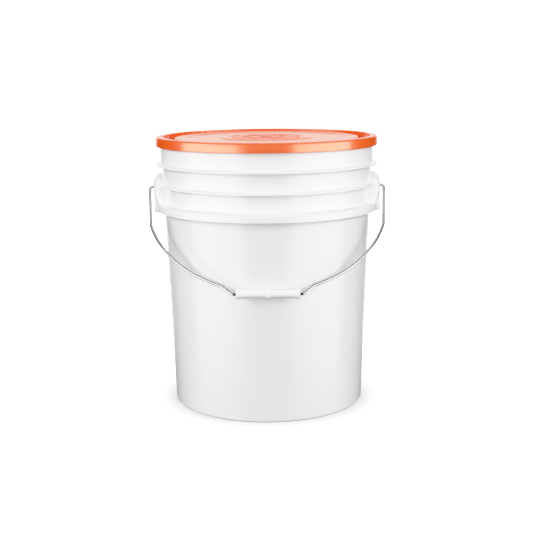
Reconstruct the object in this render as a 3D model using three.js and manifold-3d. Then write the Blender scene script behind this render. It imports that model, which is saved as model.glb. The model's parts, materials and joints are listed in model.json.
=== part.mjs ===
// A 5-gallon plastic pail for fermenting: moulded bucket, snap lid with its gasket, wire bail and grip.
// Millimetres, +Z up, origin at the centre of the foot ring. The bail leans on the front (-Y) of the wall.

import * as THREE from 'three';
import { mergeVertices } from 'three/addons/utils/BufferGeometryUtils.js';
import Module from 'manifold-3d';

const wasm = await Module();
wasm.setup();

// Round parts: both the bucket and the lid have one facet every 6 degrees, in step with each other.
const ROUND_FACETS = 60;

// Bucket wall: a straight taper from the base up to the top ring, then a slightly wider neck.
const HEIGHT = 372;
const WALL_BASE_RADIUS = 132.9;
const WALL_TAPER = 0.037;
const WALL_THICKNESS = 2.4;
const NECK_RADIUS = 147.3;
const FOOT_RADIUS = 130.2;
const FOOT_INNER_RADIUS = 123.5;
const FOOT_HEIGHT = 2.6;
const FLOOR_TOP = 5;
const FLOOR_FILLET = 6;
const EDGE_ROUND = 2.7;

// Three rings round the upper wall. Each value is the height of a ring's lower edge.
const RING_TOP = { z: 333, radius: 153.4, thickness: 2.2 };
const RING_MIDDLE = { z: 305.4, radius: 151.5, thickness: 2.2 };
const SKIRT = { z: 270.6, radius: 153.9, thickness: 2, webZ: 277.6, height: 8.9 };

// Rim bead that the lid snaps over.
const RIM_RADIUS = 150;
const RIM_TOP = 366.9;
const RIM_BEAD_Z = 362;

// Ear bosses at +X and -X, which hold the ends of the bail. Each is a rounded boss that stands on the
// skirt ring, with a narrower tongue down over the ring's outside.
const PIVOT_Z = 301.5;
const EAR_FACE = 157.2;
const EAR_DOME_RADIUS = 262;
const EAR_ROOT = 128;
const EAR_WALL = 2.4;
const EAR_WAIST = 298;
const EAR_MIDDLE_RISE = 2;
const BOSS = { half: 47, foot: 280.5, flare: 9, spring: 297, top: 321, edgeWidth: 13, edgeDepth: 8.2 };
const BOSS_HOLLOW_FOOT = 283.5;
const TONGUE = { half: 29, foot: 268.8, flare: 0, spring: 288, top: 302, edgeWidth: 3.4, edgeDepth: 3.4 };
const TONGUE_HOLLOW_FOOT = 258;
const TONGUE_SINK = 0.15;

// Lid: skirt and crown round the rim, a moat inside the mouth, then a raised centre panel.
const LID_SKIRT_RADIUS = 153.4;
const LID_SKIRT_Z = 359.3;
const LID_BEAD_RADIUS = 150.3;
const LID_BORE = 151.2;
const LID_UNDERSIDE = 370.2;
const CROWN_OUTER = 150.8;
const CROWN_INNER = 142.9;
const PLUG_TOP_RADIUS = 144.3;
const PLUG_FOOT_RADIUS = 141;
const MOAT_OUTER = 139;
const MOAT_INNER = 129;
const MOAT_FLOOR = 358.5;
const MOAT_UNDERSIDE = 356.5;
const PANEL_RADIUS = 127;
const PANEL_Z = 369.8;
const PANEL_STEP_RADIUS = 110.3;
const PANEL_STEP = 0.8;
const PANEL_THICKNESS = 2;
const RAISED_RING_INNER = 52;
const RAISED_RING_OUTER = 64.5;
const GUSSET_THICKNESS = 1.6;
const GUSSET_FOOT = 135.6;

// Gasket in the channel between the crown's underside and the rim.
const GASKET_INNER = 145.2;
const GASKET_OUTER = 149.4;
const GASKET_BOTTOM = 367.2;
const GASKET_TOP = 369.9;

// Bail: galvanised wire, described in its own plane by half width and reach from the pivot axis.
const WIRE_RADIUS = 2;
const WIRE_HOLE_RADIUS = 2.3;
const WIRE_SIDES = 10;
const STUB_END = 149.5;
const LEG_HALF_WIDTH = 163.6;
const LEG_REACH = 73;
const ARC_RADIUS = 165;
const ARC_CENTRE_REACH = 24;
const ARC_END_HALF_WIDTH = 60;
const GRIP_REACH = 191.6;
const GRIP_BEND_HALF_WIDTH = 46;

// Grip: a plastic tube on the middle of the bail, with flared ends and a moulded collar at its centre.
const GRIP_HALF_LENGTH = 41.5;
const GRIP_BORE_RADIUS = 2.5;
const GRIP_RADIUS = 5.4;
const GRIP_END_RADIUS = 6.75;
const GRIP_COLLAR_RADIUS = 7;
const GRIP_COLLAR_HALF = 2.3;
const GRIP_WALL_GAP = 0.3;
const GRIP_FACETS = 24;

// ---------------------------------------------------------------- helpers

const wallRadius = (z) => WALL_BASE_RADIUS + WALL_TAPER * z;

// A body of revolution about Z from a closed outline of [radius, height] points.
function revolve(outline, facets = ROUND_FACETS) {
  const points = outline.map(([radius, height]) => new THREE.Vector2(radius, height));
  if (outline[0][0] > 0) {
    points.push(points[0].clone());
  }
  return new THREE.LatheGeometry(points, facets).rotateX(Math.PI / 2);
}

// Points on a circular arc in the outline's plane, from one angle to another, in degrees.
function arc(radius, height, size, from, to, steps) {
  const points = [];
  for (let step = 0; step <= steps; step += 1) {
    const angle = THREE.MathUtils.degToRad(from + ((to - from) * step) / steps);
    points.push([radius + size * Math.cos(angle), height + size * Math.sin(angle)]);
  }
  return points;
}

function toSolid(geometry) {
  const bare = geometry.index ? geometry.clone() : geometry;
  bare.deleteAttribute('normal');
  bare.deleteAttribute('uv');
  const merged = mergeVertices(bare, 1e-4);
  const mesh = new wasm.Mesh({
    numProp: 3,
    vertProperties: new Float32Array(merged.attributes.position.array),
    triVerts: new Uint32Array(merged.index.array),
  });
  return new wasm.Manifold(mesh);
}

function toGeometry(solid) {
  const mesh = solid.getMesh();
  const geometry = new THREE.BufferGeometry();
  geometry.setAttribute('position', new THREE.BufferAttribute(mesh.vertProperties, 3));
  geometry.setIndex(new THREE.BufferAttribute(mesh.triVerts, 1));
  geometry.computeVertexNormals();
  return geometry;
}

function part(name, geometry, color, roughness, metalness) {
  const mesh = new THREE.Mesh(geometry, new THREE.MeshStandardMaterial({ color, roughness, metalness }));
  mesh.name = name;
  return mesh;
}

// ---------------------------------------------------------------- bucket

// The ring's section, from its lower edge at the wall, round its rounded tip and up its root fillet.
function ringSection(ring, wallAbove) {
  const top = ring.z + ring.thickness;
  return [
    [wallRadius(ring.z), ring.z],
    [ring.radius - 0.3, ring.z],
    [ring.radius, ring.z + 0.4],
    [ring.radius, top - 0.7],
    [ring.radius - 0.7, top],
    [wallAbove + 3, top + 0.4],
    [wallAbove, top + 3],
  ];
}

function bucketOutline() {
  const neckInner = NECK_RADIUS - WALL_THICKNESS;
  const innerBase = wallRadius(FLOOR_TOP) - WALL_THICKNESS;
  return [
    [0, FOOT_HEIGHT],
    [FOOT_INNER_RADIUS - 2, FOOT_HEIGHT],
    [FOOT_INNER_RADIUS, 0],
    ...arc(FOOT_RADIUS, EDGE_ROUND, EDGE_ROUND, -90, 0, 3),
    [wallRadius(SKIRT.webZ), SKIRT.webZ],
    [SKIRT.radius - SKIRT.thickness, SKIRT.webZ],
    [SKIRT.radius - SKIRT.thickness, SKIRT.z],
    [SKIRT.radius, SKIRT.z],
    ...arc(SKIRT.radius - 1.5, SKIRT.z + SKIRT.height, 1.5, 0, 90, 2),
    [wallRadius(SKIRT.z) + 3, SKIRT.z + SKIRT.height + 1.8],
    [wallRadius(SKIRT.z + 14), SKIRT.z + 14],
    ...ringSection(RING_MIDDLE, wallRadius(RING_MIDDLE.z)),
    ...ringSection(RING_TOP, NECK_RADIUS),
    [NECK_RADIUS, RIM_BEAD_Z - 0.6],
    [RIM_RADIUS, RIM_BEAD_Z],
    [RIM_RADIUS, RIM_TOP - 1],
    [RIM_RADIUS - 1, RIM_TOP],
    [neckInner + 1, RIM_TOP],
    [neckInner, RIM_TOP - 1],
    [neckInner, RING_TOP.z + 4],
    [wallRadius(RING_TOP.z) - WALL_THICKNESS, RING_TOP.z],
    ...arc(innerBase - FLOOR_FILLET, FLOOR_TOP + FLOOR_FILLET, FLOOR_FILLET, 0, -90, 3),
    [0, FLOOR_TOP],
  ];
}

// A closed body through a stack of loops with the same number of points, each end capped from a middle
// point that sees all of its loop.
function loft(loops, firstMiddle, lastMiddle) {
  const count = loops[0].length;
  const points = [...loops.flat(), firstMiddle, lastMiddle];
  const topStart = count * (loops.length - 1);
  const index = [];
  for (let place = 0; place < count; place += 1) {
    const onward = (place + 1) % count;
    for (let start = 0; start < topStart; start += count) {
      const here = start + place;
      const next = start + onward;
      index.push(here, next, next + count, here, next + count, here + count);
    }
    index.push(points.length - 2, onward, place);
    index.push(points.length - 1, topStart + place, topStart + onward);
  }
  return new THREE.BufferGeometry().setFromPoints(points).setIndex(index);
}

// A boss or tongue seen along X. Its feet may spread in a hollow curve, and a half ellipse tops it.
function earOutline(shape, drawnIn) {
  const half = shape.half - drawnIn;
  const rise = shape.top - drawnIn - shape.spring;
  const foot = [];
  const flareSteps = 3;
  for (let step = 0; step < flareSteps && shape.flare > 0; step += 1) {
    const turn = (Math.PI / 2) * (step / flareSteps);
    foot.push([half + shape.flare * (1 - Math.sin(turn)), shape.foot + shape.flare * (1 - Math.cos(turn))]);
  }
  foot.push([half, shape.foot + shape.flare]);
  const arch = [];
  const archSteps = 14;
  for (let step = 0; step <= archSteps; step += 1) {
    const turn = (Math.PI * step) / archSteps;
    arch.push([half * Math.cos(turn), shape.spring + rise * Math.sin(turn)]);
  }
  return [...foot, ...arch, ...foot.map(([across, height]) => [-across, height]).reverse()];
}

// How far out the gently domed face of an ear stands.
function domeReach(across) {
  return EAR_FACE - EAR_DOME_RADIUS + Math.sqrt(EAR_DOME_RADIUS ** 2 - across ** 2);
}

// Below the waist the boss leans in until it is flush with the skirt ring.
function bossReach(across, height) {
  const ring = Math.sqrt(SKIRT.radius ** 2 - across ** 2);
  const lean = Math.max(0, (EAR_WAIST - height) / (EAR_WAIST - BOSS.foot)) ** 2;
  return THREE.MathUtils.lerp(domeReach(across), ring, Math.min(lean, 1));
}

const tongueReach = (across) => domeReach(across) - TONGUE_SINK;

// A solid behind one face: straight sides from the root, a rounded edge, then the face itself.
function earBlock(shape, reach) {
  const middle = shape.foot + EAR_MIDDLE_RISE;
  const facePoint = (y, z, back) => new THREE.Vector3(reach(y, z) - back, y, z);
  const loops = [earOutline(shape, 0).map(([y, z]) => new THREE.Vector3(EAR_ROOT, y, z))];
  const steps = 3;
  for (let step = 0; step <= steps; step += 1) {
    const turn = (Math.PI / 2) * (step / steps);
    const outline = earOutline(shape, shape.edgeWidth * (1 - Math.cos(turn)));
    const back = shape.edgeDepth * (1 - Math.sin(turn));
    loops.push(outline.map(([y, z]) => facePoint(y, z, back)));
  }
  const face = earOutline(shape, shape.edgeWidth);
  for (const share of [0.75, 0.5, 0.25]) {
    loops.push(face.map(([y, z]) => facePoint(y * share, THREE.MathUtils.lerp(middle, z, share), 0)));
  }
  return toSolid(loft(loops, new THREE.Vector3(EAR_ROOT, 0, middle), facePoint(0, middle, 0)));
}

function earSolid() {
  return earBlock(BOSS, bossReach).add(earBlock(TONGUE, tongueReach));
}

// The same blocks one wall thickness smaller. The tongue's runs on down, so the ear is open below.
function earHollow() {
  const smaller = (shape, foot) => (
    { ...shape, foot, flare: 0, half: shape.half - EAR_WALL, top: shape.top - EAR_WALL }
  );
  const behind = (reach) => (across, height) => reach(across, height) - EAR_WALL;
  const boss = earBlock(smaller(BOSS, BOSS_HOLLOW_FOOT), behind(bossReach));
  return boss.add(earBlock(smaller(TONGUE, TONGUE_HOLLOW_FOOT), behind(tongueReach)));
}

function bucketGeometry() {
  const wallCore = toSolid(revolve([
    [0, FOOT_HEIGHT],
    [wallRadius(FOOT_HEIGHT), FOOT_HEIGHT],
    [wallRadius(RING_TOP.z), RING_TOP.z],
    [0, RING_TOP.z],
  ]));
  const inside = toSolid(revolve([
    [0, FLOOR_TOP + 1],
    [wallRadius(FLOOR_TOP) - WALL_THICKNESS, FLOOR_TOP + 1],
    [wallRadius(RING_TOP.z) - WALL_THICKNESS, RING_TOP.z],
    [0, RING_TOP.z],
  ]));
  const ear = earSolid().subtract(inside);
  const hollow = earHollow().subtract(wallCore);
  const hole = new THREE.CylinderGeometry(WIRE_HOLE_RADIUS, WIRE_HOLE_RADIUS, 14, 20);
  hole.rotateZ(Math.PI / 2).translate(EAR_FACE, 0, PIVOT_Z);
  const cut = hollow.add(toSolid(hole));
  const halfTurn = [0, 0, 180];
  const body = toSolid(revolve(bucketOutline()))
    .add(ear)
    .add(ear.rotate(halfTurn))
    .subtract(cut)
    .subtract(cut.rotate(halfTurn));
  return toGeometry(body);
}

// ---------------------------------------------------------------- lid

function lidOutline() {
  return [
    [0, PANEL_Z - PANEL_STEP - PANEL_THICKNESS],
    [PANEL_RADIUS - 2.6, PANEL_Z - PANEL_STEP - PANEL_THICKNESS],
    [MOAT_INNER - 2, MOAT_UNDERSIDE],
    [PLUG_FOOT_RADIUS, MOAT_UNDERSIDE],
    [PLUG_TOP_RADIUS, LID_UNDERSIDE],
    [LID_BORE - 0.6, LID_UNDERSIDE],
    [LID_BORE, LID_UNDERSIDE - 1.4],
    [LID_BORE, RIM_BEAD_Z + 0.4],
    [LID_BEAD_RADIUS, LID_SKIRT_Z + 1.6],
    [LID_BEAD_RADIUS, LID_SKIRT_Z + 0.8],
    [LID_BORE, LID_SKIRT_Z],
    [LID_SKIRT_RADIUS, LID_SKIRT_Z],
    [LID_SKIRT_RADIUS - 0.6, HEIGHT - 2.4],
    [LID_SKIRT_RADIUS - 1.2, HEIGHT - 0.9],
    [CROWN_OUTER, HEIGHT],
    [CROWN_INNER, HEIGHT],
    [CROWN_INNER - 0.6, HEIGHT - 0.6],
    [MOAT_OUTER, MOAT_FLOOR],
    [MOAT_INNER, MOAT_FLOOR],
    [PANEL_RADIUS, PANEL_Z - 0.7],
    [PANEL_RADIUS - 0.7, PANEL_Z],
    [PANEL_STEP_RADIUS + PANEL_STEP, PANEL_Z],
    [PANEL_STEP_RADIUS, PANEL_Z - PANEL_STEP],
    [RAISED_RING_OUTER, PANEL_Z - PANEL_STEP],
    [RAISED_RING_OUTER - PANEL_STEP, PANEL_Z],
    [RAISED_RING_INNER + PANEL_STEP, PANEL_Z],
    [RAISED_RING_INNER, PANEL_Z - PANEL_STEP],
    [0, PANEL_Z - PANEL_STEP],
  ];
}

// One three-cornered gusset on the moat's outer wall, at angle zero.
function gusset() {
  const section = new THREE.Shape();
  section.moveTo(CROWN_INNER, HEIGHT - 1.2);
  section.lineTo(MOAT_OUTER + 1, MOAT_FLOOR - 1);
  section.lineTo(GUSSET_FOOT, MOAT_FLOOR - 1);
  section.lineTo(GUSSET_FOOT, MOAT_FLOOR + 1);
  section.lineTo(CROWN_INNER - 1.6, HEIGHT - 1.2);
  const plate = new THREE.ExtrudeGeometry(section, { depth: GUSSET_THICKNESS, bevelEnabled: false });
  plate.translate(0, 0, -GUSSET_THICKNESS / 2).rotateX(Math.PI / 2);
  return toSolid(plate);
}

function lidGeometry() {
  const pitch = 360 / ROUND_FACETS;
  const rib = gusset();
  let lid = toSolid(revolve(lidOutline()));
  for (let index = 0; index < ROUND_FACETS; index += 1) {
    lid = lid.add(rib.rotate([0, 0, (index + 0.5) * pitch]));
  }
  return toGeometry(lid);
}

function gasketGeometry() {
  return revolve([
    [GASKET_INNER, GASKET_BOTTOM],
    [GASKET_OUTER, GASKET_BOTTOM],
    [GASKET_OUTER, GASKET_TOP],
    [GASKET_INNER, GASKET_TOP],
  ]);
}

// ---------------------------------------------------------------- bail and grip

// The bail leans forward until the grip's collar is a hair off the wall.
function leanAngle() {
  let lean = 0;
  for (let pass = 0; pass < 8; pass += 1) {
    const gripZ = PIVOT_Z - GRIP_REACH * Math.cos(lean);
    const standOff = wallRadius(gripZ) + GRIP_COLLAR_RADIUS + GRIP_WALL_GAP;
    lean = Math.asin(standOff / GRIP_REACH);
  }
  return lean;
}

// Replaces a corner between two neighbours with a few points on a smooth bend.
function bend(before, corner, after, trim, steps) {
  const start = corner.clone().lerp(before, trim / corner.distanceTo(before));
  const end = corner.clone().lerp(after, trim / corner.distanceTo(after));
  return new THREE.QuadraticBezierCurve(start, corner, end).getPoints(steps);
}

// Half of the bail, from the stub in the ear to the middle of the grip, as [half width, reach].
function bailHalf() {
  const stub = new THREE.Vector2(STUB_END, 0);
  const elbow = new THREE.Vector2(LEG_HALF_WIDTH, 0);
  const knee = new THREE.Vector2(Math.sqrt(ARC_RADIUS ** 2 - (LEG_REACH - ARC_CENTRE_REACH) ** 2), LEG_REACH);
  const arcAngle = (halfWidth) => Math.acos(halfWidth / ARC_RADIUS);
  const onArc = (angle) => new THREE.Vector2(
    ARC_RADIUS * Math.cos(angle),
    ARC_CENTRE_REACH + ARC_RADIUS * Math.sin(angle),
  );
  const kneeAngle = arcAngle(knee.x);
  const endAngle = arcAngle(ARC_END_HALF_WIDTH);
  const arcSteps = 14;
  const sweep = [];
  for (let step = 1; step < arcSteps; step += 1) {
    sweep.push(onArc(kneeAngle + ((endAngle - kneeAngle) * step) / arcSteps));
  }
  const arcEnd = onArc(endAngle);
  const gripBend = new THREE.Vector2(GRIP_BEND_HALF_WIDTH, GRIP_REACH);
  const middle = new THREE.Vector2(0, GRIP_REACH);
  return [
    stub,
    ...bend(stub, elbow, knee, 5.5, 5),
    ...bend(elbow, knee, sweep[0], 6, 3),
    ...sweep.slice(1, -1),
    ...bend(sweep[arcSteps - 2], arcEnd, gripBend, 4, 3),
    ...bend(arcEnd, gripBend, middle, 4, 3),
    middle,
  ];
}

// A route whose sections stand exactly on its own points.
class Route extends THREE.Curve {
  constructor(points) {
    super();
    this.points = points;
  }

  getPoint(t, target = new THREE.Vector3()) {
    const last = this.points.length - 1;
    const index = Math.min(Math.floor(t * last + 1e-9), last - 1);
    return target.lerpVectors(this.points[index], this.points[index + 1], t * last - index);
  }

  getPointAt(t, target) {
    return this.getPoint(t, target);
  }

  getTangentAt(t, target = new THREE.Vector3()) {
    const last = this.points.length - 1;
    const index = Math.round(t * last);
    const before = this.points[Math.max(index - 1, 0)];
    const here = this.points[index];
    const after = this.points[Math.min(index + 1, last)];
    const arriving = here.clone().sub(before).normalize();
    const leaving = after.clone().sub(here).normalize();
    return target.copy(arriving).add(leaving).normalize();
  }
}

function bailGeometry(lean) {
  const place = (side) => (point) => new THREE.Vector3(
    side * point.x,
    -point.y * Math.sin(lean),
    PIVOT_Z - point.y * Math.cos(lean),
  );
  const half = bailHalf();
  const left = half.map(place(-1));
  const right = half.slice(0, -1).reverse().map(place(1));
  const route = new Route([...left, ...right]);
  const section = new THREE.Shape();
  section.absarc(0, 0, WIRE_RADIUS, 0, 2 * Math.PI, false);
  return new THREE.ExtrudeGeometry(section, {
    curveSegments: WIRE_SIDES / 2,
    steps: route.points.length - 1,
    extrudePath: route,
  });
}

// Turned about its own length, which lies along X.
function gripGeometry() {
  const half = [
    [GRIP_COLLAR_RADIUS, GRIP_COLLAR_HALF],
    [GRIP_RADIUS, GRIP_COLLAR_HALF + 0.5],
    [GRIP_RADIUS, GRIP_HALF_LENGTH - 7],
    [GRIP_END_RADIUS, GRIP_HALF_LENGTH - 3.5],
    [GRIP_END_RADIUS, GRIP_HALF_LENGTH - 0.8],
    [GRIP_END_RADIUS - 0.8, GRIP_HALF_LENGTH],
    [GRIP_BORE_RADIUS, GRIP_HALF_LENGTH],
  ];
  const mirrored = half.map(([radius, along]) => [radius, -along]).reverse();
  return revolve([...mirrored, ...half], GRIP_FACETS).rotateY(Math.PI / 2);
}

// ---------------------------------------------------------------- assembly

const pail = new THREE.Group();
const lean = leanAngle();

pail.add(part('bucket_body', bucketGeometry(), 0xf4f4f4, 0.32, 0));
pail.add(part('lid', lidGeometry(), 0xef6930, 0.28, 0));
pail.add(part('lid_gasket', gasketGeometry(), 0x3a3a3c, 0.7, 0));
pail.add(part('bail_wire', bailGeometry(lean), 0xb4b6b8, 0.35, 1));

const grip = part('bail_grip', gripGeometry(), 0xf6f6f6, 0.4, 0);
grip.position.set(0, -GRIP_REACH * Math.sin(lean), PIVOT_Z - GRIP_REACH * Math.cos(lean));
pail.add(grip);

export default pail;
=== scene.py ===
import json
import math

import bmesh
import bpy
from mathutils import Matrix, Vector


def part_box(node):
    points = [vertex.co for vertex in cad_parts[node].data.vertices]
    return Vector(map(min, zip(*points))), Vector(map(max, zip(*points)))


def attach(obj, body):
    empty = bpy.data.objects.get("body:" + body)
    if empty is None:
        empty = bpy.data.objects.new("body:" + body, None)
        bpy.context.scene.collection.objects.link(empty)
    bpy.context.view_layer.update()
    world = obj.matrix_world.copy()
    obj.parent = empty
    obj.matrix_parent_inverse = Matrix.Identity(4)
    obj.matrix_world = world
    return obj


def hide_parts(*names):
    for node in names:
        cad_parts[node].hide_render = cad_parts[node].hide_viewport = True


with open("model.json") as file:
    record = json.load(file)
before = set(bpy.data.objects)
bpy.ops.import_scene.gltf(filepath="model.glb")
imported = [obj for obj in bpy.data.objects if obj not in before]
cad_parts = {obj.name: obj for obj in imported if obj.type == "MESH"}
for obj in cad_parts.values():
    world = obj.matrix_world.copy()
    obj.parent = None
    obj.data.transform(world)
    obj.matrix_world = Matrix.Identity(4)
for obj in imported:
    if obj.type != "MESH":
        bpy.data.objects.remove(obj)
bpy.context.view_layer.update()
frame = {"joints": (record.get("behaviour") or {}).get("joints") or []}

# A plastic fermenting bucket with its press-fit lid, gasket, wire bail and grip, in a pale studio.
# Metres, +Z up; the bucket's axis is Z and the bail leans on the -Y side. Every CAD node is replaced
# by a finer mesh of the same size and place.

MM = 0.001
JOINTS = {joint["name"]: joint for joint in frame["joints"]}
BODY_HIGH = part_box("bucket_body")[1]
LID_LOW, LID_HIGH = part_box("lid")
GASKET_LOW, GASKET_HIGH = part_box("lid_gasket")
GRIP_LOW, GRIP_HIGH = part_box("bail_grip")

ROUND_STEPS = 240

# Bucket: a straight taper, three rings, the neck and the rim bead.
WALL = 2.4 * MM
WALL_BASE_RADIUS = 132.9 * MM
WALL_TAPER = 0.037
FLOOR_TOP = 5 * MM
FOOT_INNER = 123.5 * MM
FOOT_HEIGHT = 2.6 * MM
NECK_RADIUS = 147.3 * MM
NECK_START = 4 * MM
RIM_TOP = BODY_HIGH.z
RIM_RADIUS = 150 * MM
RIM_BEAD = 4.4 * MM
RING_TOP_Z = 333 * MM
RING_TOP_RADIUS = 153.4 * MM
RING_MIDDLE_Z = 305.4 * MM
RING_MIDDLE_RADIUS = 151.5 * MM
RING_THICKNESS = 2.2 * MM
SKIRT_RADIUS = BODY_HIGH.y
SKIRT_WALL = 2 * MM
SKIRT_Z = 270.6 * MM
SKIRT_WEB_Z = 277.6 * MM
SKIRT_TOP_Z = 281 * MM

# Ears: a rounded boss that stands on the skirt ring, and a tongue over the ring's outside. In each, half is
# half its width, and foot, spring and top are the heights of its foot, of the spring of its arch and of its
# top. A solid ear starts inside the wall, and the hollow in it starts just off the wall.
PIVOT_Z = JOINTS["bail_swing"]["pos_m"][2]
EAR_FACE = BODY_HIGH.x
EAR_DOME_RADIUS = 262 * MM
EAR_WAIST = 298 * MM
EAR_MIDDLE_RISE = 2 * MM
EAR_IN_WALL = -1.2 * MM
EAR_OFF_WALL = 0.3 * MM
WIRE_HOLE = 2.3 * MM
BOSS = {"half": 47 * MM, "foot": 280.5 * MM, "flare": 9 * MM, "spring": 297 * MM, "top": 321 * MM,
        "edge_width": 13 * MM, "edge_depth": 8.2 * MM}
BOSS_SINK = 0.5 * MM
BOSS_HOLLOW_FOOT = 283.5 * MM
TONGUE = {"half": 29 * MM, "foot": 268.8 * MM, "flare": 0, "spring": 288 * MM, "top": 302 * MM,
          "edge_width": 3.4 * MM, "edge_depth": 3.4 * MM}
TONGUE_SINK = 0.15 * MM
TONGUE_HOLLOW_FOOT = 258 * MM

# Lid: skirt and bead outside the rim, plug inside the neck, crown, moat and panel.
HEIGHT = LID_HIGH.z
LID_RADIUS = LID_HIGH.x
LID_DRAFT = 0.7 * MM
LID_SKIRT_Z = 359.3 * MM
LID_UNDERSIDE = 370.2 * MM
LID_BORE = 151.2 * MM
LID_BEAD_RADIUS = 150.3 * MM
PLUG_TOP_RADIUS = 144.3 * MM
PLUG_FOOT_RADIUS = 141 * MM
CROWN_INNER = 142.9 * MM
MOAT_UNDERSIDE = LID_LOW.z
MOAT_FLOOR = MOAT_UNDERSIDE + 2 * MM
MOAT_OUTER = 139 * MM
MOAT_INNER = 129 * MM
GUSSETS = 60
GUSSET_HALF = 0.5 * MM
GUSSET_FOOT = 137.4 * MM
GUSSET_LIP = 0.9 * MM
PANEL_RADIUS = 127 * MM
PANEL_Z = 369.8 * MM
PANEL_STEP = 0.8 * MM
PANEL_THICKNESS = 2 * MM

# The panel's relief, where each band of it starts and ends.
PANEL_STEP_RADIUS = 110.1 * MM
RAISED_RING_OUTER = 64.1 * MM
RAISED_RING_INNER = 52 * MM
BARS_OUTER = 46 * MM
BARS_INNER = 33.5 * MM
HUB_RING_OUTER = 29 * MM
HUB_RING_INNER = 26.6 * MM
RAYS_OUTER = 23.9 * MM
RAYS_INNER = 7.9 * MM
DIMPLE_RADIUS = 3 * MM
BAR_HEIGHT = 0.8 * MM
HUB_RING_HEIGHT = 0.6 * MM
DIMPLE_DEPTH = 0.5 * MM

GASKET_INNER = 145.2 * MM
GASKET_ROUNDING = 0.9 * MM

# Bail: stub in the ear, leg, long arc, and a straight middle in the grip. WIRE_END rounds off its two ends:
# each pair is (how far in, how thick), both as a share of the wire's radius.
WIRE_RADIUS = 2 * MM
WIRE_SIDES = 24
WIRE_END = ((0.0, 0.55), (0.25, 0.85), (0.7, 1.0))
STUB_END = 149.5 * MM
LEG_HALF_WIDTH = 163.6 * MM
LEG_REACH = 73 * MM
ARC_RADIUS = 165 * MM
ARC_CENTRE_REACH = 24 * MM
ARC_END_HALF_WIDTH = 60 * MM
GRIP_BEND_HALF_WIDTH = 46 * MM

# Grip: a tube with flared ends and a collar in the middle.
GRIP_CENTRE = Vector(JOINTS["grip_spin"]["pos_m"])
GRIP_TUBE_RADIUS = 5.4 * MM
GRIP_END_RADIUS = 6.75 * MM
GRIP_BORE_RADIUS = 2.5 * MM

# Camera: in front of the bucket, a little above its rim, with hardly any roll.
CAMERA_PLACE = Vector((-1.6, -1471.7, 469.8)) * MM
CAMERA_DOWN = math.radians(10.908)
CAMERA_ROLL = math.radians(-0.558)
CAMERA_LENS = 71.24
CAMERA_SENSOR = 36

# Studio. Some panels only light the surfaces, and others only show in them. Two high keys at the sides and
# a lower one in front light the bucket. Two sheens make the pale bands on its wall, with a darker gap
# between them. A third sheen hangs overhead, and a fourth stands behind and shows in the lid's top. A fill
# behind lights the back. The sky is a soft fill, stronger from above than from below, and it changes
# between the two over FILL_BLEND on each side of level.
FLOOR_RADIUS = 6
# The floor glows less round the bucket's foot, as a painted contact shadow, and the glow rises to its full
# level further out.
FLOOR_GLOW_IN_PAINTED_SHADOW = 0.33
FLOOR_GLOW_FAR = 1.6
PAINTED_SHADOW_FADE_START = 136 * MM
PAINTED_SHADOW_FADE_END = 190 * MM
BACKDROP_RADIUS = 9
BACKDROP_GLOW = 1.6
FILL_ABOVE = 0.46
FILL_BELOW = 0.24
FILL_BLEND = 0.3
KEY_DISTANCE = 2.6
SIDE_KEY_BEARING = 73
SIDE_KEY_MIDDLE = 1.20
SIDE_KEY_SIZE = (2.0, 0.95)
SIDE_KEY_RADIANCE = 7.8
FRONT_KEY_MIDDLE = 0.58
FRONT_KEY_SIZE = (2.4, 0.65)
FRONT_KEY_RADIANCE = 6.3
SHEEN_BEARING = 59
SHEEN_DISTANCE = 2.2
SHEEN_MIDDLE = -0.10
SHEEN_SIZE = (2.85, 1.7)
SHEEN_RADIANCE = 3.1
OVERHEAD_PLACE = (0, 0.2, 2.5)
OVERHEAD_SIZE = (5.0, 3.6)
OVERHEAD_RADIANCE = 0.7
BACK_SHEEN_DISTANCE = 2.6
BACK_SHEEN_MIDDLE = 0.75
BACK_SHEEN_SIZE = (2.6, 3.0)
BACK_SHEEN_RADIANCE = 1.25
BACK_FILL_DISTANCE = 2.4
BACK_FILL_MIDDLE = 0.19
BACK_FILL_SIZE = (1.75, 1.6)
BACK_FILL_RADIANCE = 3.5

# Tone: scene values up to WHITE_POINT are shown, and each pair is (scene value, how bright it shows).
WHITE_POINT = 1.35
TONES = ((0.78, 0.78), (0.90, 0.86), (1.05, 0.925), (1.2, 0.972))


def wall_radius(z):
    return WALL_BASE_RADIUS + WALL_TAPER * z


# ---------------------------------------------------------------- mesh helpers


def mesh_object(name, vertices, faces):
    mesh = bpy.data.meshes.new(name)
    mesh.from_pydata(vertices, [], faces)
    mesh.validate()
    piece = bpy.data.objects.new(name, mesh)
    bpy.context.scene.collection.objects.link(piece)
    return piece


def tidy_normals(piece, sharp_degrees=32):
    """Faces point outwards, and only real corners are sharp."""
    mesh = piece.data
    work = bmesh.new()
    work.from_mesh(mesh)
    bmesh.ops.remove_doubles(work, verts=work.verts, dist=2e-7)
    bmesh.ops.recalc_face_normals(work, faces=work.faces)
    work.to_mesh(mesh)
    work.free()
    for polygon in mesh.polygons:
        polygon.use_smooth = True
    mesh.set_sharp_from_angle(angle=math.radians(sharp_degrees))


def arc_between(first, last, steps):
    """Points that turn evenly from one spoke of a circle to another."""
    turn = first.angle(last)
    if turn < 1e-4:
        return [first.lerp(last, step / steps) for step in range(steps + 1)]
    points = []
    for step in range(steps + 1):
        share = step / steps
        blend = math.sin((1 - share) * turn) * first + math.sin(share * turn) * last
        points.append(blend / math.sin(turn))
    return points


def fillet(before, corner, after, radius, steps):
    """Points on a true arc that rounds one corner of a flat path."""
    back = (before - corner).normalized()
    on = (after - corner).normalized()
    half = back.angle(on) / 2
    if math.pi / 2 - half < 1e-3:
        return [corner + back * radius * (1 - 2 * step / steps) for step in range(steps + 1)]
    reach = radius / math.tan(half)
    centre = corner + (back + on).normalized() * (radius / math.sin(half))
    first = corner + back * reach - centre
    last = corner + on * reach - centre
    return [centre + point for point in arc_between(first, last, steps)]


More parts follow.
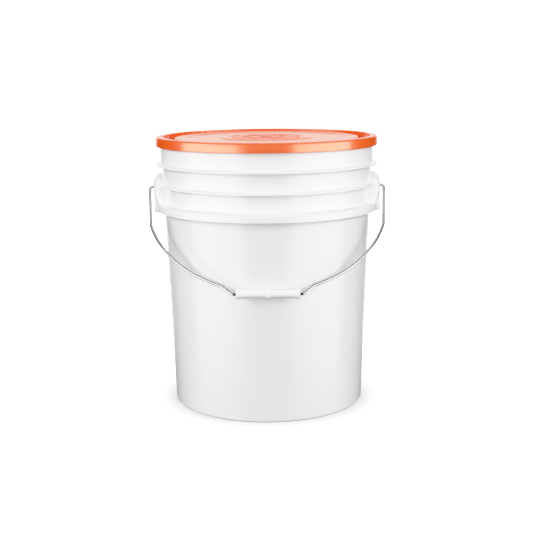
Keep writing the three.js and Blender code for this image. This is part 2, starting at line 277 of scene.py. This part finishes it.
def rounded(corners):
    """An outline with its corners rounded. Each corner is (radius, z) where it stays sharp, or
    (radius, z, size of the rounding, steps of the rounding)."""
    points = []
    for index, corner in enumerate(corners):
        here = Vector(corner[:2])
        if len(corner) == 2:
            points.append(tuple(here))
            continue
        before = Vector(corners[index - 1][:2])
        after = Vector(corners[(index + 1) % len(corners)][:2])
        size, steps = corner[2:]
        points += [tuple(point) for point in fillet(before, here, after, size, steps)]
    return points


def even_angles(steps):
    return [2 * math.pi * step / steps for step in range(steps)]


def revolve(name, profile_at, angles):
    """A closed body round Z. profile_at(index) gives the outline at each angle; it starts and ends on
    the axis, or closes on itself."""
    first = profile_at(0)
    closed = first[0][0] > 1e-9
    count = len(first)
    vertices, faces, rows = [], [], []
    for index, angle in enumerate(angles):
        row = []
        for place, (radius, z) in enumerate(profile_at(index)):
            on_axis = not closed and place in (0, count - 1)
            if on_axis and index > 0:
                row.append(rows[0][place])
                continue
            vertices.append((radius * math.cos(angle), radius * math.sin(angle), z))
            row.append(len(vertices) - 1)
        rows.append(row)
    spans = count if closed else count - 1
    for index, row in enumerate(rows):
        other = rows[(index + 1) % len(rows)]
        for place in range(spans):
            after = (place + 1) % count
            loop = [row[place], other[place], other[after], row[after]]
            faces.append(list(dict.fromkeys(loop)))
    return mesh_object(name, vertices, faces)


def skin(name, loops):
    """A closed body through a stack of loops with the same number of points, each end capped flat."""
    count = len(loops[0])
    vertices = [tuple(point) for loop in loops for point in loop]
    faces = []
    for start in range(0, count * (len(loops) - 1), count):
        for place in range(count):
            after = (place + 1) % count
            faces.append((start + place, start + after, start + count + after, start + count + place))
    faces.append(tuple(range(count)))
    faces.append(tuple(reversed(range(len(vertices) - count, len(vertices)))))
    return mesh_object(name, vertices, faces)


def boolean(piece, cutter, operation):
    """Joins or cuts with another mesh, and drops the other one."""
    change = piece.modifiers.new(operation.lower(), "BOOLEAN")
    change.operation = operation
    change.solver = "EXACT"
    change.object = cutter
    graph = bpy.context.evaluated_depsgraph_get()
    made = bpy.data.meshes.new_from_object(piece.evaluated_get(graph))
    piece.modifiers.clear()
    piece.data = made
    bpy.data.objects.remove(cutter)


# ---------------------------------------------------------------- materials


class Nodes:
    """Short forms for building one node material."""

    def __init__(self, name):
        self.material = bpy.data.materials.new(name)
        self.material.use_nodes = True
        self.tree = self.material.node_tree
        self.shader = self.tree.nodes["Principled BSDF"]
        self.space = self.tree.nodes.new("ShaderNodeTexCoord")

    def add(self, kind, **values):
        node = self.tree.nodes.new(kind)
        for key, value in values.items():
            if key in node.inputs:
                node.inputs[key].default_value = value
            else:
                setattr(node, key, value)
        return node

    def link(self, source, target):
        self.tree.links.new(source, target)

    def scaled(self, scale, source="Object"):
        mapping = self.add("ShaderNodeMapping", Scale=scale)
        self.link(self.space.outputs[source], mapping.inputs["Vector"])
        return mapping.outputs["Vector"]

    def noise(self, vector, scale, detail=3, roughness=0.5):
        node = self.add("ShaderNodeTexNoise", Scale=scale, Detail=detail, Roughness=roughness)
        self.link(vector, node.inputs["Vector"])
        return node.outputs["Fac"]

    def stretch(self, value, start, end, low, high):
        node = self.add("ShaderNodeMapRange")
        node.inputs["From Min"].default_value = start
        node.inputs["From Max"].default_value = end
        node.inputs["To Min"].default_value = low
        node.inputs["To Max"].default_value = high
        self.link(value, node.inputs["Value"])
        return node.outputs["Result"]

    def spread(self, noise, low, high):
        """Noise stays mostly between 0.3 and 0.7, so that is what fills the range."""
        return self.stretch(noise, 0.3, 0.7, low, high)

    def mix(self, value, first, second):
        node = self.add("ShaderNodeMix", data_type="RGBA")
        # The colour sockets of a Mix node come after its float and vector ones.
        colours = [socket for socket in node.inputs if socket.type == "RGBA"]
        colours[0].default_value = (*first, 1)
        colours[1].default_value = (*second, 1)
        self.link(value, node.inputs["Factor"])
        return [socket for socket in node.outputs if socket.type == "RGBA"][0]

    def bump(self, value, strength, distance, normal=None):
        node = self.add("ShaderNodeBump", Strength=strength, Distance=distance)
        self.link(value, node.inputs["Height"])
        if normal is not None:
            self.link(normal, node.inputs["Normal"])
        return node.outputs["Normal"]

    def drive(self, socket, value):
        self.link(value, self.shader.inputs[socket])

    def set(self, **values):
        for key, value in values.items():
            self.shader.inputs[key.replace("_", " ")].default_value = value


def moulded_plastic(name, pale, deep, gloss, peel, glow, ior=1.52, mirror=0.5, tint=(1, 1, 1)):
    """Injection-moulded polyethylene: faint cloudiness, orange peel and a slightly uneven gloss. gloss is
    the range of the roughness, peel scales the bumps, and glow is how much light soaks in."""
    nodes = Nodes(name)
    even = nodes.scaled((1, 1, 1))
    upright = nodes.scaled((1, 1, 0.12))
    cloud = nodes.noise(upright, scale=18, detail=4)
    nodes.drive("Base Color", nodes.mix(nodes.spread(cloud, 0, 1), pale, deep))
    patches = nodes.noise(even, scale=55, detail=5, roughness=0.6)
    nodes.drive("Roughness", nodes.spread(patches, *gloss))
    ripple = nodes.noise(upright, scale=130, detail=2)
    rippled = nodes.bump(ripple, strength=0.10 * peel, distance=0.2 * MM)
    grain = nodes.noise(even, scale=900, detail=2)
    nodes.drive("Normal", nodes.bump(grain, strength=0.12 * peel, distance=0.04 * MM, normal=rippled))
    nodes.set(IOR=ior, Specular_IOR_Level=mirror, Specular_Tint=(*tint, 1))
    nodes.set(Subsurface_Weight=glow, Subsurface_Scale=6 * MM, Subsurface_Radius=(1, 0.9, 0.8))
    return nodes.material


def galvanised_steel():
    """Drawn wire with a zinc coat: fine lines along the wire and soft mottling."""
    nodes = Nodes("galvanised_wire")
    drawn = nodes.noise(nodes.scaled((12, 55, 1), "UV"), scale=1, detail=4, roughness=0.65)
    mottle = nodes.noise(nodes.scaled((1, 1, 1)), scale=420, detail=3)
    zinc = nodes.mix(nodes.spread(mottle, 0, 1), (0.70, 0.71, 0.72), (0.57, 0.58, 0.59))
    nodes.drive("Base Color", zinc)
    nodes.drive("Roughness", nodes.spread(drawn, 0.12, 0.26))
    nodes.drive("Normal", nodes.bump(drawn, strength=0.25, distance=0.05 * MM))
    nodes.set(Metallic=1.0)
    return nodes.material


def gasket_rubber():
    """Dark matt rubber with a fine grain."""
    nodes = Nodes("gasket_rubber")
    fine = nodes.noise(nodes.scaled((1, 1, 1)), scale=700, detail=4)
    black = nodes.mix(nodes.spread(fine, 0, 1), (0.035, 0.035, 0.037), (0.055, 0.055, 0.057))
    nodes.drive("Base Color", black)
    nodes.drive("Roughness", nodes.spread(fine, 0.55, 0.75))
    nodes.drive("Normal", nodes.bump(fine, strength=0.2, distance=0.05 * MM))
    return nodes.material


def studio_floor():
    """A pale table top that glows as a lit white sweep does, and less round the bucket's foot: a painted
    contact shadow.
    """
    nodes = Nodes("studio_floor")
    fine = nodes.noise(nodes.scaled((1, 1, 1)), scale=60, detail=3)
    nodes.drive("Base Color", nodes.mix(nodes.spread(fine, 0, 1), (0.60, 0.60, 0.60), (0.62, 0.62, 0.62)))
    nodes.set(Roughness=0.9, IOR=1.2, Emission_Color=(1, 1, 1, 1))
    away = nodes.add("ShaderNodeVectorMath", operation="LENGTH")
    nodes.link(nodes.space.outputs["Object"], away.inputs[0])
    # Painted contact shadow: the glow is lowest at the bucket's foot and rises to the full glow further
    # out.
    glow = nodes.stretch(away.outputs["Value"], PAINTED_SHADOW_FADE_START, PAINTED_SHADOW_FADE_END, FLOOR_GLOW_IN_PAINTED_SHADOW,
                         FLOOR_GLOW_FAR)
    nodes.drive("Emission Strength", glow)
    return nodes.material


def backdrop_white():
    nodes = Nodes("backdrop_white")
    nodes.set(Base_Color=(0, 0, 0, 1), Roughness=1.0)
    nodes.set(Emission_Color=(1, 1, 1, 1), Emission_Strength=BACKDROP_GLOW)
    return nodes.material


# ---------------------------------------------------------------- bucket


def ring_corners(z, outer, radius_above):
    """A thin ring, flat below and hollowed into the wall above."""
    top = z + RING_THICKNESS
    return [
        (wall_radius(z), z, 0.4 * MM, 3),
        (outer, z, 0.35 * MM, 3),
        (outer, top, 0.8 * MM, 5),
        (radius_above, top + 0.6 * MM, 2.6 * MM, 7),
    ]


def bucket_profile():
    skirt_inner = SKIRT_RADIUS - SKIRT_WALL
    neck_inner = NECK_RADIUS - WALL
    corners = [
        (0, FOOT_HEIGHT),
        (FOOT_INNER - 2 * MM, FOOT_HEIGHT, 0.8 * MM, 4),
        (FOOT_INNER + 0.6 * MM, 0, 0.5 * MM, 4),
        (wall_radius(0), 0, 2.7 * MM, 8),
        (wall_radius(SKIRT_WEB_Z), SKIRT_WEB_Z, 1.0 * MM, 4),
        (skirt_inner, SKIRT_WEB_Z, 0.8 * MM, 4),
        (skirt_inner, SKIRT_Z, 0.3 * MM, 3),
        (SKIRT_RADIUS, SKIRT_Z, 0.5 * MM, 4),
        (SKIRT_RADIUS, SKIRT_TOP_Z - 0.3 * MM, 1.3 * MM, 6),
        (wall_radius(SKIRT_TOP_Z), SKIRT_TOP_Z + 0.6 * MM, 3.0 * MM, 7),
        *ring_corners(RING_MIDDLE_Z, RING_MIDDLE_RADIUS, wall_radius(RING_MIDDLE_Z)),
        *ring_corners(RING_TOP_Z, RING_TOP_RADIUS, NECK_RADIUS),
        (NECK_RADIUS, RIM_TOP - RIM_BEAD - 1 * MM, 0.4 * MM, 3),
        (RIM_RADIUS, RIM_TOP - RIM_BEAD, 0.6 * MM, 4),
        (RIM_RADIUS, RIM_TOP, 1.4 * MM, 6),
        (neck_inner, RIM_TOP, 1.0 * MM, 5),
        (neck_inner, RING_TOP_Z + NECK_START, 3 * MM, 4),
        (wall_radius(RING_TOP_Z) - WALL, RING_TOP_Z, 3 * MM, 4),
        (wall_radius(FLOOR_TOP) - WALL, FLOOR_TOP, 6 * MM, 8),
        (0, FLOOR_TOP),
    ]
    return rounded(corners)


def ear_outline(shape, drawn_in):
    """A boss or tongue seen along X. Its feet may spread in a hollow curve, and a half ellipse tops it."""
    half = shape["half"] - drawn_in
    foot, flare = shape["foot"], shape["flare"]
    right = []
    steps = 8 if flare else 0
    for step in range(steps):
        turn = math.pi / 2 * step / steps
        right.append((half + flare * (1 - math.sin(turn)), foot + flare * (1 - math.cos(turn))))
    right.append((half, foot + flare))
    rise = shape["top"] - drawn_in - shape["spring"]
    arch = []
    steps = 44
    for step in range(steps + 1):
        turn = math.pi * step / steps
        arch.append((half * math.cos(turn), shape["spring"] + rise * math.sin(turn)))
    foot_half = right[0][0]
    steps = 24
    base = [(foot_half * (2 * step / steps - 1), foot) for step in range(1, steps)]
    return right + arch + [(-y, z) for y, z in reversed(right)] + base


def dome_reach(y):
    """How far out the gently domed face of an ear stands."""
    return EAR_FACE - EAR_DOME_RADIUS + math.sqrt(EAR_DOME_RADIUS ** 2 - y * y)


def boss_reach(y, z):
    """Below the waist the boss leans in until it is just inside the skirt ring's outer face."""
    ring = math.sqrt((SKIRT_RADIUS - BOSS_SINK) ** 2 - y * y)
    lean = min(1, max(0, (EAR_WAIST - z) / (EAR_WAIST - BOSS["foot"]))) ** 2
    return dome_reach(y) + (ring - dome_reach(y)) * lean


def tongue_reach(y, _z):
    return dome_reach(y) - TONGUE_SINK


def ear_block(side, shape, reach, gap):
    """A closed body behind one face. Its back lies at a gap from the wall's outer surface, and then come
    straight sides, a rounded edge and the face. reach(y, z) is how far out the face stands. The back and
    the face are made of shrinking loops, so that both follow their curves."""
    middle = shape["foot"] + EAR_MIDDLE_RISE
    width, depth = shape["edge_width"], shape["edge_depth"]

    def spread(drawn_in, share):
        for y, z in ear_outline(shape, drawn_in):
            yield y * share, middle + (z - middle) * share

    def back(share):
        return [(math.sqrt((wall_radius(z) + gap) ** 2 - y * y), y, z) for y, z in spread(0, share)]

    def front(drawn_in, behind, share=1):
        return [(reach(y, z) - behind, y, z) for y, z in spread(drawn_in, share)]

    layers = [back(share) for share in (0.05, 0.3, 0.55, 0.8, 1)]
    steps = 9
    for step in range(steps + 1):
        turn = math.pi / 2 * step / steps
        layers.append(front(width * (1 - math.cos(turn)), depth * (1 - math.sin(turn))))
    layers += [front(width, 0, share) for share in (0.9, 0.75, 0.55, 0.3, 0.05)]
    block = skin("ear", [[(side * x, side * y, z) for x, y, z in layer] for layer in layers])
    tidy_normals(block)
    return block


def wire_hole(side):
    """A drill for one ear's hole, from the hollow behind the face to past the face."""
    circle = [(WIRE_HOLE * math.cos(angle), PIVOT_Z + WIRE_HOLE * math.sin(angle))
              for angle in even_angles(48)]
    start, end = EAR_FACE - 8 * MM, EAR_FACE + 4 * MM
    drill = skin("drill", [[(side * x, y, z) for y, z in circle] for x in (start, end)])
    tidy_normals(drill)
    return drill


def one_wall_smaller(shape, foot):
    """The outline of the hollow in a boss or tongue, which has a foot of its own and no flare."""
    return {**shape, "foot": foot, "flare": 0, "half": shape["half"] - WALL, "top": shape["top"] - WALL}


def make_bucket():
    profile = bucket_profile()
    body = revolve("bucket", lambda index: profile, even_angles(ROUND_STEPS))
    tidy_normals(body)
    ears = ((BOSS, boss_reach, BOSS_HOLLOW_FOOT), (TONGUE, tongue_reach, TONGUE_HOLLOW_FOOT))
    for side in (1, -1):
        for shape, reach, _ in ears:
            boolean(body, ear_block(side, shape, reach, EAR_IN_WALL), "UNION")
    for side in (1, -1):
        for shape, reach, hollow_foot in ears:
            inner = one_wall_smaller(shape, hollow_foot)
            hollow = ear_block(side, inner, lambda y, z: reach(y, z) - WALL, EAR_OFF_WALL)
            boolean(body, hollow, "DIFFERENCE")
        boolean(body, wire_hole(side), "DIFFERENCE")
    tidy_normals(body)
    return body


# ---------------------------------------------------------------- lid and gasket


def relief(bar):
    """The panel's rings and bars, from the outside in. bar is 1 where a bar is cut through. Each level is
    (radius where it starts, width of the slope before it, height, rounding, steps of the rounding)."""
    low = PANEL_Z - PANEL_STEP
    bar_top = low + (BAR_HEIGHT if bar else 0)
    levels = [
        (PANEL_STEP_RADIUS, 0.8 * MM, low, 0.5 * MM, 4),
        (RAISED_RING_OUTER, 0.8 * MM, PANEL_Z, 0.4 * MM, 4),
        (RAISED_RING_INNER, 0.8 * MM, low, 0.4 * MM, 4),
        (BARS_OUTER, 0.5 * MM, bar_top, 0.2 * MM, 3),
        (BARS_INNER, 0.5 * MM, low, 0.2 * MM, 3),
        (HUB_RING_OUTER, 0.4 * MM, low + HUB_RING_HEIGHT, 0.2 * MM, 3),
        (HUB_RING_INNER, 0.4 * MM, low, 0.2 * MM, 3),
        (RAYS_OUTER, 0.5 * MM, bar_top, 0.2 * MM, 3),
        (RAYS_INNER, 0.5 * MM, low, 0.2 * MM, 3),
        (DIMPLE_RADIUS, 0.4 * MM, low - DIMPLE_DEPTH, 0.3 * MM, 3),
    ]
    corners = []
    before = PANEL_Z
    for radius, slope, level, rounding, steps in levels:
        corners.append((radius + slope, before, rounding, steps))
        corners.append((radius, level, rounding, steps))
        before = level
    return corners + [(0, before)]


def lid_section(gusset, bar):
    """The lid's section. gusset is 1 on one of the moat's gussets, bar is 1 on a bar of the relief."""
    panel_underside = PANEL_Z - PANEL_STEP - PANEL_THICKNESS
    gusset_foot = GUSSET_FOOT if gusset else MOAT_OUTER
    lip = GUSSET_LIP if gusset else 0
    return rounded([
        (0, panel_underside),
        (PANEL_RADIUS - 2.6 * MM, panel_underside, 1.0 * MM, 4),
        (MOAT_INNER - 2 * MM, MOAT_UNDERSIDE, 0.8 * MM, 4),
        (PLUG_FOOT_RADIUS, MOAT_UNDERSIDE, 0.8 * MM, 4),
        (PLUG_TOP_RADIUS, LID_UNDERSIDE, 0.4 * MM, 3),
        (LID_BORE, LID_UNDERSIDE, 0.8 * MM, 4),
        (LID_BORE, LID_SKIRT_Z + 3.0 * MM, 0.4 * MM, 3),
        (LID_BEAD_RADIUS, LID_SKIRT_Z + 1.6 * MM, 0.4 * MM, 3),
        (LID_BEAD_RADIUS + 0.6 * MM, LID_SKIRT_Z, 0.3 * MM, 3),
        (LID_RADIUS, LID_SKIRT_Z, 0.7 * MM, 5),
        (LID_RADIUS - LID_DRAFT, HEIGHT, 2.3 * MM, 9),
        (CROWN_INNER, HEIGHT, 0.6 * MM, 5),
        (CROWN_INNER - lip, HEIGHT - 1.6 * MM, 0.2 * MM, 2),
        (gusset_foot, MOAT_FLOOR, 0.6 * MM, 4),
        (MOAT_INNER, MOAT_FLOOR, 0.8 * MM, 5),
        (PANEL_RADIUS, PANEL_Z, 0.9 * MM, 6),
        *relief(bar),
    ])


def make_lid():
    """Gussets and bars are columns of the revolved grid, so the lid stays one closed mesh. Each column is
    (turn past the middle of a gusset, 1 on the gusset, 1 on a bar)."""
    pitch = 2 * math.pi / GUSSETS
    half = GUSSET_HALF / MOAT_OUTER
    draft = half * 0.25
    bar_start, bar_end = 0.22 * pitch, 0.78 * pitch
    bar_draft = 0.02 * pitch
    columns = [
        (-half, 1, 0),
        (half, 1, 0),
        (half + draft, 0, 0),
        (bar_start - bar_draft, 0, 0),
        (bar_start, 0, 1),
        (0.5 * pitch, 0, 1),
        (bar_end, 0, 1),
        (bar_end + bar_draft, 0, 0),
        (pitch - half - draft, 0, 0),
    ]
    sections = {(gusset, bar): lid_section(gusset, bar) for gusset in (0, 1) for bar in (0, 1)}
    angles, kinds = [], []
    for index in range(GUSSETS):
        for offset, gusset, bar in columns:
            angles.append((index + 0.5) * pitch + offset)
            kinds.append((gusset, bar))
    lid = revolve("lid_shell", lambda index: sections[kinds[index]], angles)
    tidy_normals(lid)
    return lid


def make_gasket():
    low, high = GASKET_LOW.z, GASKET_HIGH.z
    corners = [(GASKET_INNER, low), (GASKET_HIGH.x, low), (GASKET_HIGH.x, high), (GASKET_INNER, high)]
    section = rounded([(radius, z, GASKET_ROUNDING, 6) for radius, z in corners])
    gasket = revolve("gasket_ring", lambda index: section, even_angles(ROUND_STEPS))
    tidy_normals(gasket)
    return gasket


# ---------------------------------------------------------------- bail and grip


def bail_half(reach):
    """From the stub in the ear to the middle of the grip, as (half width, reach from the pivot)."""
    stub = Vector((STUB_END, 0))
    elbow = Vector((LEG_HALF_WIDTH, 0))
    knee = Vector((math.sqrt(ARC_RADIUS ** 2 - (LEG_REACH - ARC_CENTRE_REACH) ** 2), LEG_REACH))

    def on_arc(angle):
        return Vector((ARC_RADIUS * math.cos(angle), ARC_CENTRE_REACH + ARC_RADIUS * math.sin(angle)))

    start = math.acos(knee.x / ARC_RADIUS)
    end = math.acos(ARC_END_HALF_WIDTH / ARC_RADIUS)
    steps = 60
    sweep = [on_arc(start + (end - start) * step / steps) for step in range(3, steps - 1)]
    grip_bend = Vector((GRIP_BEND_HALF_WIDTH, reach))
    middle = Vector((0, reach))
    return [
        stub,
        *fillet(stub, elbow, knee, 5.0 * MM, 10),
        *fillet(elbow, knee, sweep[0], 18 * MM, 5),
        *sweep,
        *fillet(sweep[-1], on_arc(end), grip_bend, 8 * MM, 6),
        *fillet(on_arc(end), grip_bend, middle, 8 * MM, 7),
        middle,
    ]


def wire_stations(route):
    """Where each loop of the skin goes: (place, direction, share of the full radius)."""
    directions = []
    for index in range(len(route)):
        before = route[max(index - 1, 0)]
        after = route[min(index + 1, len(route) - 1)]
        directions.append((after - before).normalized())
    first, last = directions[0], directions[-1]
    stations = [(route[0] + first * WIRE_RADIUS * along, first, size) for along, size in WIRE_END]
    stations += [(place, direction, 1.0) for place, direction in zip(route[1:-1], directions[1:-1])]
    stations += [(route[-1] - last * WIRE_RADIUS * along, last, size) for along, size in reversed(WIRE_END)]
    return stations


def make_wire():
    pivot = Vector((0, 0, PIVOT_Z))
    drop = GRIP_CENTRE - pivot
    down = drop.normalized()
    across = Vector((1, 0, 0))
    normal = across.cross(down)
    half = bail_half(drop.length)
    flat = [Vector((-point.x, point.y)) for point in half] + half[-2::-1]
    route = [pivot + across * point.x + down * point.y for point in flat]
    stations = wire_stations(route)
    loops, lengths = [], []
    travelled = 0.0
    previous = stations[0][0]
    for place, direction, size in stations:
        travelled += (place - previous).length
        lengths.append(travelled)
        previous = place
        inward = normal.cross(direction).normalized()
        spokes = [inward * math.cos(turn) + normal * math.sin(turn) for turn in even_angles(WIRE_SIDES)]
        loops.append([place + spoke * WIRE_RADIUS * size for spoke in spokes])
    wire = skin("bail", loops)
    layer = wire.data.uv_layers.new(name="length_and_turn")
    for corner in wire.data.loops:
        ring, side = divmod(corner.vertex_index, WIRE_SIDES)
        layer.data[corner.index].uv = (lengths[ring], side / WIRE_SIDES)
    tidy_normals(wire, 50)
    return wire


def grip_profile():
    half = (GRIP_HIGH.x - GRIP_LOW.x) / 2
    collar = (GRIP_HIGH.z - GRIP_LOW.z) / 2
    right = [
        (collar, 0.9 * MM, 0.5 * MM, 3),
        (collar - 0.3 * MM, 2.2 * MM, 0.5 * MM, 4),
        (GRIP_TUBE_RADIUS, 2.9 * MM, 0.6 * MM, 4),
        (GRIP_TUBE_RADIUS, half - 9 * MM, 8 * MM, 5),
        (GRIP_END_RADIUS, half - 3.2 * MM, 4 * MM, 5),
        (GRIP_END_RADIUS, half, 0.9 * MM, 6),
        (GRIP_BORE_RADIUS + 1.4 * MM, half, 0.4 * MM, 3),
        (GRIP_BORE_RADIUS, half - 1.6 * MM, 0.4 * MM, 3),
    ]
    left = [(radius, -along, *rest) for radius, along, *rest in reversed(right)]
    return rounded(left + right)


def make_grip():
    profile = grip_profile()
    grip = revolve("grip", lambda index: profile, even_angles(72))
    turn = Matrix.Translation(GRIP_CENTRE) @ Matrix.Rotation(math.pi / 2, 4, "Y")
    grip.data.transform(turn)
    tidy_normals(grip)
    return grip


# ---------------------------------------------------------------- studio


def panel(name, size, radiance, diffuse=True, glossy=True):
    """A flat light. diffuse and glossy say whether it lights the surfaces and shows in them."""
    light = bpy.data.lights.new(name, "AREA")
    light.shape = "RECTANGLE"
    light.size, light.size_y = size
    light.energy = radiance * math.pi * size[0] * size[1]
    lamp = bpy.data.objects.new(name, light)
    bpy.context.scene.collection.objects.link(lamp)
    lamp.visible_camera = False
    lamp.visible_diffuse = diffuse
    lamp.visible_glossy = glossy
    return lamp


def stand(lamp, bearing, middle, distance):
    """Sets a panel upright to face the bucket's axis. bearing is in degrees from -Y towards +X, and middle
    is the height of the panel's centre."""
    turn = math.radians(bearing)
    outward = Vector((math.sin(turn), -math.cos(turn), 0))
    lamp.location = outward * distance + Vector((0, 0, middle))
    lamp.rotation_euler = outward.to_track_quat("Z", "Y").to_euler()


def make_set():
    """The floor and the backdrop are only seen by the camera, and light nothing."""
    bpy.ops.mesh.primitive_circle_add(vertices=96, radius=FLOOR_RADIUS, fill_type="NGON")
    floor = bpy.context.object
    floor.name = "floor"
    floor.data.materials.append(studio_floor())
    bpy.ops.mesh.primitive_uv_sphere_add(radius=BACKDROP_RADIUS)
    backdrop = bpy.context.object
    backdrop.name = "backdrop"
    backdrop.data.materials.append(backdrop_white())
    backdrop.visible_transmission = False
    for part in (floor, backdrop):
        part.visible_diffuse = False
        part.visible_glossy = False
        part.visible_shadow = False


def make_fill():
    world = bpy.data.worlds.new("studio")
    world.use_nodes = True
    tree = world.node_tree
    sky = tree.nodes["Background"]
    sky.inputs["Color"].default_value = (1, 1, 1, 1)
    towards = tree.nodes.new("ShaderNodeTexCoord")
    split = tree.nodes.new("ShaderNodeSeparateXYZ")
    rise = tree.nodes.new("ShaderNodeMapRange")
    rise.inputs["From Min"].default_value = -FILL_BLEND
    rise.inputs["From Max"].default_value = FILL_BLEND
    rise.inputs["To Min"].default_value = FILL_BELOW
    rise.inputs["To Max"].default_value = FILL_ABOVE
    tree.links.new(towards.outputs["Generated"], split.inputs["Vector"])
    tree.links.new(split.outputs["Z"], rise.inputs["Value"])
    tree.links.new(rise.outputs["Result"], sky.inputs["Strength"])
    world.cycles_visibility.glossy = False
    bpy.context.scene.world = world


def make_lights():
    for side in (-1, 1):
        key = panel(f"side_key_{side}", SIDE_KEY_SIZE, SIDE_KEY_RADIANCE, glossy=False)
        stand(key, side * SIDE_KEY_BEARING, SIDE_KEY_MIDDLE, KEY_DISTANCE)
        sheen = panel(f"sheen_{side}", SHEEN_SIZE, SHEEN_RADIANCE, diffuse=False)
        stand(sheen, side * SHEEN_BEARING, SHEEN_MIDDLE, SHEEN_DISTANCE)
    front_key = panel("front_key", FRONT_KEY_SIZE, FRONT_KEY_RADIANCE, glossy=False)
    stand(front_key, 0, FRONT_KEY_MIDDLE, KEY_DISTANCE)
    overhead = panel("overhead_sheen", OVERHEAD_SIZE, OVERHEAD_RADIANCE, diffuse=False)
    overhead.location = OVERHEAD_PLACE
    back_sheen = panel("back_sheen", BACK_SHEEN_SIZE, BACK_SHEEN_RADIANCE, diffuse=False)
    stand(back_sheen, 180, BACK_SHEEN_MIDDLE, BACK_SHEEN_DISTANCE)
    back_fill = panel("back_fill", BACK_FILL_SIZE, BACK_FILL_RADIANCE, glossy=False)
    stand(back_fill, 180, BACK_FILL_MIDDLE, BACK_FILL_DISTANCE)


def set_tone():
    """Plain display colours, with the brightest tones eased in below white."""
    view = bpy.context.scene.view_settings
    view.view_transform = "Standard"
    view.use_curve_mapping = True
    tone = view.curve_mapping
    tone.white_level = (WHITE_POINT,) * 3
    curve = tone.curves[3]
    curve.points[0].location = (0, 0)
    curve.points[1].location = (1, 1)
    for value, shown in TONES:
        curve.points.new(value / WHITE_POINT, shown)
    for point in curve.points:
        point.handle_type = "VECTOR"
    tone.update()


def make_camera():
    lens = bpy.data.cameras.new("camera")
    lens.lens = CAMERA_LENS
    lens.sensor_width = CAMERA_SENSOR
    camera = bpy.data.objects.new("camera", lens)
    bpy.context.scene.collection.objects.link(camera)
    tilt = Matrix.Rotation(math.pi / 2 - CAMERA_DOWN, 4, "X")
    camera.matrix_world = Matrix.Translation(CAMERA_PLACE) @ tilt @ Matrix.Rotation(CAMERA_ROLL, 4, "Z")
    bpy.context.scene.camera = camera


# ---------------------------------------------------------------- assembly


def finish_piece(piece, material, node, body):
    piece.data.materials.clear()
    piece.data.materials.append(material)
    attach(piece, body)
    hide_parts(node)


make_camera()
make_set()
make_fill()
make_lights()
set_tone()

white = moulded_plastic("bucket_plastic", pale=(0.88, 0.88, 0.88), deep=(0.86, 0.86, 0.86),
                        gloss=(0.20, 0.27), peel=0.6, glow=0.08)
orange = moulded_plastic("lid_plastic", pale=(0.98, 0.130, 0.010), deep=(0.96, 0.124, 0.009),
                         gloss=(0.21, 0.27), peel=0.03, glow=0, ior=1.9, mirror=0.88, tint=(1, 1, 0.82))
satin = moulded_plastic("grip_plastic", pale=(0.90, 0.90, 0.90), deep=(0.87, 0.87, 0.87),
                        gloss=(0.30, 0.40), peel=0.8, glow=0.15)

finish_piece(make_bucket(), white, "bucket_body", "bucket")
finish_piece(make_lid(), orange, "lid", "lid")
finish_piece(make_gasket(), gasket_rubber(), "lid_gasket", "lid")
finish_piece(make_wire(), galvanised_steel(), "bail_wire", "bail")
finish_piece(make_grip(), satin, "bail_grip", "grip")
